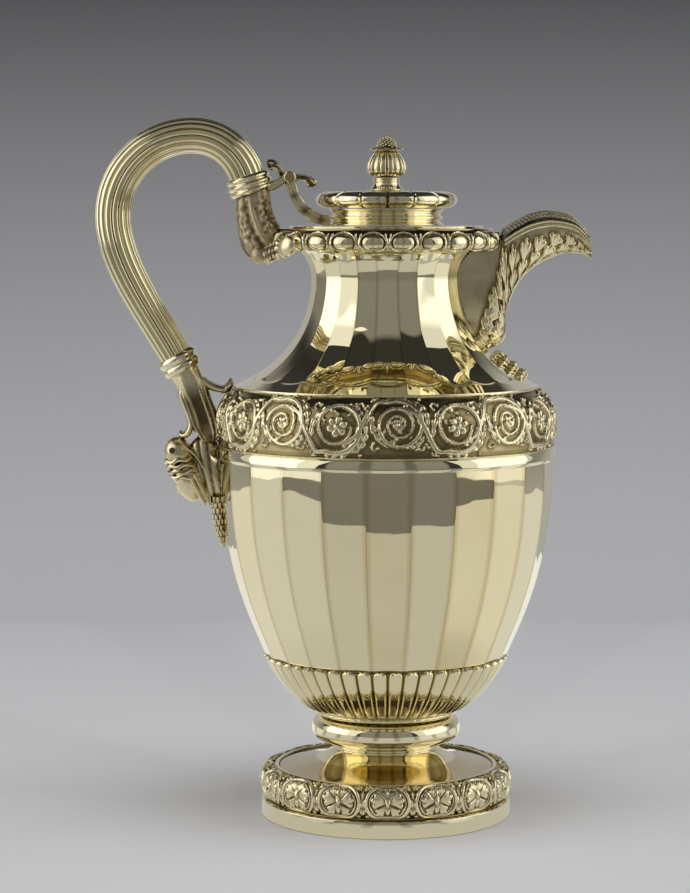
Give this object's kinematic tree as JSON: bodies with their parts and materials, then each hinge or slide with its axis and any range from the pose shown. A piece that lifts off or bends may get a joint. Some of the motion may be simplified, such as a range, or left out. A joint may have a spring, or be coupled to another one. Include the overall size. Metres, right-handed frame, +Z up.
{
  "type": "covered ewer",
  "caption": "Covered ewer with a panelled baluster body, gadrooned base, spreading foot, reeded loop handle, leafed beak spout and a hinged lid.",
  "frame": {"origin": "on the floor, under the middle of the overall length from handle to spout", "axes": "+Z up the body's axis, +X towards the spout, -X towards the handle"},
  "size_m": [0.2443, 0.168, 0.3459],
  "materials": {
    "polished_gilt": "mirror polished",
    "chased_gilt": "chased, soft sheen",
    "matted_gilt": "matted"
  },
  "bodies": {
    "ewer": {"foot_rim": "polished_gilt", "foot_dome": "polished_gilt", "foot_knop": "polished_gilt", "body_shell": "polished_gilt", "neck_shell": "polished_gilt", "spout_channel": "polished_gilt", "spout_rim_near": "polished_gilt", "spout_rim_far": "polished_gilt", "handle_grip": "polished_gilt", "upper_collar": "polished_gilt", "lower_collar": "polished_gilt", "hinge_pin": "polished_gilt", "foot_stud": "matted_gilt", "foot_nut": "matted_gilt", "upper_socket": "matted_gilt", "foot_band": "chased_gilt", "knop_bead_ring": "chased_gilt", "calyx_bowl": "chased_gilt", "frieze_band": "chased_gilt", "lip_ring": "chased_gilt", "spout_cover": "chased_gilt", "spout_leaf_near": "chased_gilt", "spout_leaf_far": "chased_gilt", "spout_drop": "chased_gilt", "clasp_near": "chased_gilt", "clasp_far": "chased_gilt", "lower_socket": "chased_gilt", "handle_mask": "chased_gilt", "mask_cap": "chased_gilt", "mask_pendant": "chased_gilt", "shell_fan": "chased_gilt", "hinge_bracket": "chased_gilt", "bracket_leaf": "chased_gilt"},
    "lid": {"lid_plate": "polished_gilt", "lid_drum": "polished_gilt", "lid_cap": "chased_gilt", "finial_stem": "polished_gilt", "finial_bud": "chased_gilt", "finial_petals": "chased_gilt", "finial_berry": "chased_gilt", "finial_rod": "matted_gilt", "finial_nut": "matted_gilt", "lid_arm": "chased_gilt", "thumb_leaf": "chased_gilt"}
  },
  "joints": [
    {"name": "lid_hinge", "type": "hinge", "parent": "ewer", "child": "lid", "pos_m": [-0.02625, 0, 0.3168], "axis": [0, -1, 0], "range_deg": [0, 100]}
  ]
}
